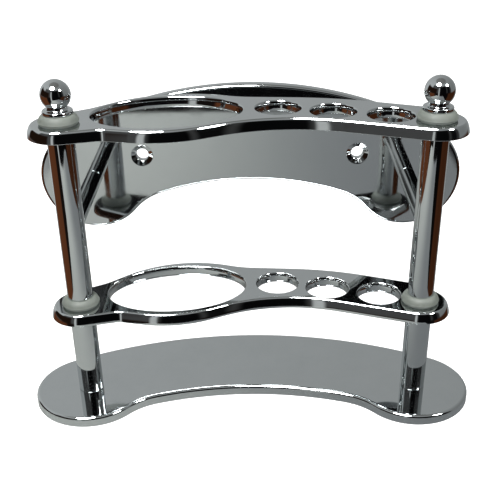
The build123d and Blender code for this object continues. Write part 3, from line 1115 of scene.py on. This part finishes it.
@dataclass
class Finial:
    """Turned ball finial and the tapped insert pressed into it."""

    side: Side
    finishes: Finishes
    ball_radius: float = 6.5
    ball_height: float = 7.9      # centre above the seat
    neck_radius: float = 4.35
    flange_radius: float = 6.6
    flange_thick: float = 1.6
    pocket_radius: float = 3.4
    pocket_depth: float = 8.5
    knurl_count: int = 40
    knurl_depth: float = 0.12
    knurl_lean: float = 4.0 / 0.9         # radians of wave for each millimetre of height
    bore: tuple[float, float] = (2.56, 2.9)   # at the thread's crest and root
    crest_cut: float = 2.55       # radius that the crests are trimmed to

    def ball(self) -> None:
        """Builds the finial as one turned profile.

        From the pocket's roof it runs down the pocket, out along the seat, round the flange's
        rim, up a cove to the neck, and over the ball, whose points are at equal angles.
        """
        node = f"{self.side.value}_finial"
        flange, thick, neck = self.flange_radius, self.flange_thick, self.neck_radius
        rim = rounded([(self.pocket_radius, self.pocket_depth, 0.0), (self.pocket_radius, 0.0, 0.15),
                       (flange, 0.0, 0.45), (flange, thick, 0.75), (neck + 0.55, thick + 0.35, 0.5)],
                      closed=False, steps=10)[:-1]
        cove = rounded([(*rim[-1], 0.0), (neck + 0.45, thick + 0.3, 0.6),
                        (neck, thick + 1.2, 0.8), (neck, thick + 1.5, 0.0)],
                       closed=False, steps=8)[1:]
        first = -math.acos(self.neck_radius / self.ball_radius)
        sweep = np.linspace(first, math.pi / 2.0, 72)
        dome = np.stack([self.ball_radius * np.cos(sweep),
                         self.ball_height + self.ball_radius * np.sin(sweep)], axis=1)
        roof = np.array([[0.0, self.pocket_depth]])
        profile = np.vstack([roof, rim, cove, dome])
        piece = solid_piece(f"{node}_turned", [(turned(profile, 160), True, False)], foot(node),
                            crease=40.0)
        dress(piece, self.finishes.ball, f"{self.side.value}_ball", node)

    def insert(self) -> None:
        """Builds the brass insert: a knurled wall, chamfered ends and a tapped bore.

        The knurl is two sets of helical grooves that cross; its depth is the larger of the
        two waves, kept clear of the ends.
        """
        node = f"{self.side.value}_finial_insert"
        outer, length = round_size(node)
        angle = full_turn(160)
        rows = np.linspace(0.0, length, 60)[None, :]
        from_end = np.minimum(rows, length - rows)
        waves = np.maximum(np.cos(self.knurl_count * angle + self.knurl_lean * rows),
                           np.cos(self.knurl_count * angle - self.knurl_lean * rows))
        band = np.clip((from_end - 0.8) / 0.3, 0.0, 1.0)
        wall = outer - self.knurl_depth * np.clip(waves, 0.0, 1.0) * band
        wall = np.minimum(wall, from_end + outer - 0.35)
        crest, root = self.bore
        bore = crest + (root - crest) * thread_depth(angle, rows, THREAD_PITCH)
        bore = np.maximum(bore, self.crest_cut + np.maximum(0.0, 0.4 - from_end))
        radii = np.hstack([wall, bore[:, ::-1]])
        grid = carried_round(radii, np.hstack([rows, rows[:, ::-1]]), angle)
        piece = solid_piece(f"{node}_knurled", [(grid, True, True)], foot(node), crease=45.0)
        dress(piece, self.finishes.brass, f"{self.side.value}_insert", node)

    def build(self) -> None:
        """Builds the ball and its insert."""
        self.ball()
        self.insert()


@dataclass
class WallArm:
    """Arm from a post back to the wall plate, with its countersunk screw."""

    side: Side
    finishes: Finishes
    post_radius: float = 6.0
    tap_radius: float = 2.02
    braze: float = 0.9            # reach of the solder fillet round the post
    tap_depth: float = 11.0
    socket_flats: float = 2.5
    socket_depth: float = 1.4
    shank_radius: float = 2.0
    thread_pitch: float = 0.7     # M4 coarse
    thread_cut: float = 0.28

    def arm(self) -> None:
        """Builds the arm.

        Its skin lies along Y from the tube's surface, y = sqrt(R^2 - x^2), to the plate. It
        starts in a quarter-circle solder fillet, and a tapped hole runs in from the far end.
        """
        node = f"{self.side.value}_wall_arm"
        low, high = low_high(node)
        centre, radius = middle(node), (high[2] - low[2]) / 2.0
        post_y = middle(f"{self.side.value}_upper_tube")[1]
        length = high[1] - post_y
        angle = full_turn(128)
        ones = 1.0 + 0.0 * angle
        swell = np.linspace(0.0, math.pi / 2.0, 10)[None, :]
        flare = radius + self.braze * (1.0 - np.sin(swell)) * ones
        cope = (radius + self.braze) * np.linspace(0.0, 1.0, 6)[None, :-1] * ones
        onto_post = np.hstack([cope, flare])
        seat = np.sqrt(self.post_radius ** 2 - (onto_post * np.cos(angle)) ** 2)
        seat[:, cope.shape[1]:] += self.braze * (1.0 - np.cos(swell))
        rest = np.vstack([
            [(radius, length * 0.5), (radius, length - 0.2), (radius - 0.2, length)],
            rounded([(radius - 0.2, length, 0.0), (self.tap_radius, length, 0.35),
                     (self.tap_radius, length - self.tap_depth, 0.3),
                     (0.0, length - self.tap_depth - 0.6, 0.0)], closed=False)[1:]])
        radii = np.hstack([onto_post, rest[None, :, 0] * ones])
        reach = np.hstack([seat, rest[None, :, 1] * ones])
        piece = solid_piece(f"{node}_coped", [(carried_round(radii, reach, angle, Axis.BACK),
                                               True, False)],
                            np.array([centre[0], post_y, centre[2]]), crease=35.0)
        dress(piece, self.finishes.arm, "stand", node)

    def screw(self) -> None:
        """Builds the countersunk screw: a hexagon socket, a conical head and a threaded shank.

        The socket's wall goes from the hexagon's distance to a circle over its lead-in.
        """
        node = f"{self.side.value}_arm_screw"
        low, high = low_high(node)
        centre = middle(node)
        head, length, shank = (high[2] - low[2]) / 2.0, high[1] - low[1], self.shank_radius
        angle = full_turn(96)
        hexed = hexagon(angle, self.socket_flats)
        corner = self.socket_flats / 2.0 / math.cos(math.pi / 6.0) + 0.12
        base, under = length - self.socket_depth, length - (head - shank)
        rows = np.linspace(0.6, under - 0.2, 100)[::-1]
        worn = shank - self.thread_cut * thread_depth(angle, rows[None, :], self.thread_pitch)
        stations = [(0.0, base - 0.25), (hexed, base), (hexed, length - 0.15), (corner, length),
                    (head - 0.25, length), (head - 0.05, length - 0.06), (head, length - 0.2),
                    (head - 0.12, length - 0.35), (shank + 0.1, under), (shank, under - 0.15)]
        stations += [(worn[:, i:i + 1], row) for i, row in enumerate(rows)]
        stations += [(shank - 0.5, 0.0), (0.0, 0.0)]
        radii = np.hstack([radius + 0.0 * angle for radius, _ in stations])
        reach = np.array([along for _, along in stations])[None, :]
        piece = solid_piece(f"{node}_socket", [(carried_round(radii, reach, angle, Axis.BACK),
                                                True, False)],
                            np.array([centre[0], low[1], centre[2]]), crease=30.0)
        dress(piece, self.finishes.screw, "stand", node)

    def build(self) -> None:
        """Builds the arm and its screw."""
        self.arm()
        self.screw()


# ------------------------------------------------------------------ the studio
@dataclass(frozen=True)
class Card:
    """One soft-edged patch of the room that the chrome mirrors.

    Azimuth is in degrees from the front (-Y) towards +X, elevation above the horizon.
    """

    azimuth: tuple[float, float]
    elevation: tuple[float, float]
    colour: str
    soft: float = 4.0             # degrees over which each edge fades


@dataclass
class Studio:
    """Pale floor, soft lamps, the room round them and the camera."""

    room: str = "#b4b7b7"
    floor_size: float = 6.0       # metres
    floor_drop: float = -0.0002   # metres, so that it doesn't touch the base
    sheet_front: float = -0.355   # metres; behind this line the chrome mirrors the floor as a painted grey sheet
    sheet_side: float = 0.165     # metres to each side
    sheet_blur: tuple[float, float] = (0.006, 0.004)         # at the front and the sides
    sheet_painted_shade_ramp: tuple[float, float] = (-0.12, 0.10)          # metres in x over which painted shade darkens the sheet from the left tone to the right
    # painted shade: the mirrored sheet's colour, lighter at the left and darker at the right, standing
    # in for light that falls off to the right
    sheet_painted_shade_tones: tuple[str, str] = ("#8c8e8b", "#626465")
    floor_glow: float = 0.78      # light of its own that the floor sends to the camera
    lean: float = 0.45            # how much brighter the room is to the left
    lens: float = 62.77           # mm
    sensor: float = 36.0          # mm
    shift: float = 0.1
    camera_at: tuple[float, float, float] = (0.00461, -0.37633, 0.25848)
    pitch: float = 29.83
    yaw: float = -0.75
    roll: float = 0.84
    cards: tuple[Card, ...] = (
        Card((-180.0, 180.0), (62.0, 91.0), "#8a8a88"),
        Card((-75.0, 75.0), (-12.0, 44.0), "#4a4a4a"),
        Card((-128.0, 128.0), (-91.0, -6.0), "#5a3420"),
        Card((-50.0, 50.0), (-91.0, -4.0), "#15110f"),
        Card((-118.0, -34.0), (-8.0, 26.0), "#1e130d"),
        Card((-22.0, -14.0), (-91.0, 34.0), "#c6c8c7", soft=2.0),
        Card((-11.0, 36.0), (-91.0, 42.0), "#0c0c0d"),
        Card((44.0, 64.0), (-8.0, 34.0), "#161617"),
    )

    def world(self) -> None:
        """Builds the room: white to the camera, and to the chrome a grey room with cards, whose
        brightness is one less `lean` times x.

        A card's share is the product of two smooth bands, one over azimuth, the arctangent of
        x over -y, and one over elevation, the arcsine of z.
        """
        world = bpy.data.worlds.new("grey_room")
        bpy.context.scene.world = world
        world.use_nodes = True
        tree = world.node_tree
        tree.nodes.clear()
        where = add_node(tree, "ShaderNodeTexCoord")
        parts = add_node(tree, "ShaderNodeSeparateXYZ", {"Vector": where.outputs["Generated"]})
        front = add_node(tree, "ShaderNodeMath", {0: parts.outputs["Y"], 1: -1.0}, operation="MULTIPLY")
        azimuth = add_node(tree, "ShaderNodeMath", {0: parts.outputs["X"], 1: front.outputs[0]},
                           operation="ARCTAN2")
        elevation = add_node(tree, "ShaderNodeMath", {0: parts.outputs["Z"]}, operation="ARCSINE")
        across = add_node(tree, "ShaderNodeMath", {0: azimuth.outputs[0]}, operation="DEGREES")
        above = add_node(tree, "ShaderNodeMath", {0: elevation.outputs[0]}, operation="DEGREES")
        light: Any = linear(self.room)
        for card in self.cards:
            share = 1.0
            for value, (low, high) in ((across, card.azimuth), (above, card.elevation)):
                for edge, soft in ((low, card.soft), (high, -card.soft)):
                    ramp = add_node(tree, "ShaderNodeMapRange", {
                        "Value": value.outputs[0], "From Min": edge - soft,
                        "From Max": edge + soft}, interpolation_type="SMOOTHSTEP")
                    share = add_node(tree, "ShaderNodeMath", {0: share, 1: ramp.outputs["Result"]},
                                     operation="MULTIPLY").outputs[0]
            light = add_node(tree, "ShaderNodeMix", {
                "Factor": share, MIX_A: light, MIX_B: linear(card.colour)},
                data_type="RGBA").outputs[MIX_OUT]
        side = add_node(tree, "ShaderNodeMath", {0: parts.outputs["X"], 1: -self.lean, 2: 1.0},
                        operation="MULTIPLY_ADD")
        seen = add_node(tree, "ShaderNodeLightPath")
        mirrored = add_node(tree, "ShaderNodeBackground", {
            "Color": light, "Strength": side.outputs[0]})
        plain = add_node(tree, "ShaderNodeBackground", {"Color": linear("#ffffff")})
        both = add_node(tree, "ShaderNodeMixShader", {
            0: seen.outputs["Is Camera Ray"], 1: mirrored.outputs[0], 2: plain.outputs[0]})
        add_node(tree, "ShaderNodeOutputWorld", {"Surface": both.outputs[0]})

    def floor(self) -> None:
        """Builds the pale floor. The chrome doesn't mirror the pale floor but a painted reflection of
        it: a grey sheet with painted shade that darkens it to the right, that ends at the front and the
        sides and lets the room show beyond."""
        half = self.floor_size / 2.0
        mesh = bpy.data.meshes.new("floor")
        mesh.from_pydata([(-half, -half, 0.0), (half, -half, 0.0), (half, half, 0.0),
                          (-half, half, 0.0)], [], [(0, 1, 2, 3)])
        floor = placed("floor", mesh)
        floor.location.z = self.floor_drop
        material, tree = new_material("pale_floor")
        place = add_node(tree, "ShaderNodeSeparateXYZ", {
            "Vector": add_node(tree, "ShaderNodeTexCoord").outputs["Object"]})
        seen = add_node(tree, "ShaderNodeLightPath")
        matt = add_node(tree, "ShaderNodeBsdfDiffuse", {"Color": linear("#c8c8c8")})
        glow = add_node(tree, "ShaderNodeEmission", {
            "Color": linear("#ffffff"), "Strength": self.floor_glow})
        bright = add_node(tree, "ShaderNodeAddShader", {0: matt.outputs[0], 1: glow.outputs[0]})
        reach = add_node(tree, "ShaderNodeMath", {0: place.outputs["X"]}, operation="ABSOLUTE")
        ahead, aside = self.sheet_blur
        across, front, flank = (
            add_node(tree, "ShaderNodeMapRange", {
                "Value": value, "From Min": start, "From Max": end},
                interpolation_type="SMOOTHSTEP").outputs["Result"]
            for value, start, end in (
                (place.outputs["X"], *self.sheet_painted_shade_ramp),
                (place.outputs["Y"], self.sheet_front - ahead, self.sheet_front + ahead),
                (reach.outputs[0], self.sheet_side + aside, self.sheet_side - aside)))
        # painted shade: the sheet's colour runs from the lighter left tone to the darker right tone,
        # for light that falls off to the right
        left, right = self.sheet_painted_shade_tones
        painted_shade_tone = add_node(tree, "ShaderNodeMix", {
            "Factor": across, MIX_A: linear(left), MIX_B: linear(right)}, data_type="RGBA")
        # painted reflection: only reflected rays see this grey sheet, while the camera sees the pale
        # floor
        painted_reflection_sheet = add_node(tree, "ShaderNodeBsdfDiffuse", {"Color": painted_shade_tone.outputs[MIX_OUT]})
        gone = add_node(tree, "ShaderNodeBsdfTransparent")
        share = add_node(tree, "ShaderNodeMath", {0: front, 1: flank}, operation="MULTIPLY")
        grey = add_node(tree, "ShaderNodeMixShader", {
            0: share.outputs[0], 1: gone.outputs[0], 2: painted_reflection_sheet.outputs[0]})
        both = add_node(tree, "ShaderNodeMixShader", {
            0: seen.outputs["Is Camera Ray"], 1: grey.outputs[0], 2: bright.outputs[0]})
        add_node(tree, "ShaderNodeOutputMaterial", {"Surface": both.outputs[0]})
        mesh.materials.append(material)

    @staticmethod
    def lamp(name: str, direction: tuple[float, float, float], distance: float,
             radius: float, watts: float) -> None:
        """Adds a round soft lamp that faces the stand.

        Args:
            name: the lamp's name.
            direction: from the stand's top towards the lamp.
            distance: in metres.
            radius: the lamp's, in metres.
            watts: its power.
        """
        data = bpy.data.lights.new(name, "AREA")
        data.shape, data.size, data.energy = "DISK", 2.0 * radius, watts
        lamp = placed(name, data)
        aim = Vector(direction).normalized()
        lamp.location = Vector((0.0, 0.0, 0.1)) + aim * distance
        lamp.rotation_mode = "QUATERNION"
        lamp.rotation_quaternion = aim.to_track_quat("Z", "Y")

    def camera(self) -> None:
        """Sets the camera in front, above and level with the middle of the stand."""
        data = bpy.data.cameras.new("camera")
        data.lens, data.sensor_width, data.shift_y = self.lens, self.sensor, self.shift
        data.clip_start = 0.01
        camera = placed("camera", data)
        camera.matrix_world = (
            Matrix.Translation(self.camera_at)
            @ Matrix.Rotation(math.radians(-self.yaw), 4, "Z")
            @ Matrix.Rotation(math.radians(90.0 - self.pitch), 4, "X")
            @ Matrix.Rotation(math.radians(-self.roll), 4, "Z"))
        bpy.context.scene.camera = camera

    def build(self) -> None:
        """Builds the studio."""
        self.world()
        self.floor()
        self.lamp("key", (-0.20, -0.46, 0.87), distance=1.3, radius=0.31, watts=34.0)
        self.lamp("fill", (0.64, -0.37, 0.67), distance=1.3, radius=0.17, watts=9.0)
        self.camera()
        bpy.context.scene.view_settings.view_transform = "Standard"
        log.info("studio ready")


def main() -> None:
    """Builds the stand piece by piece, then the studio."""
    logging.basicConfig(level=logging.INFO, format="%(name)s: %(message)s")
    finishes = Finishes()
    Castings(finishes).build()
    for side in Side:
        Post(side, finishes).build()
        TieRod(side, finishes).build()
        Finial(side, finishes).build()
        WallArm(side, finishes).build()
    Studio().build()


if __name__ == "__main__":
    main()
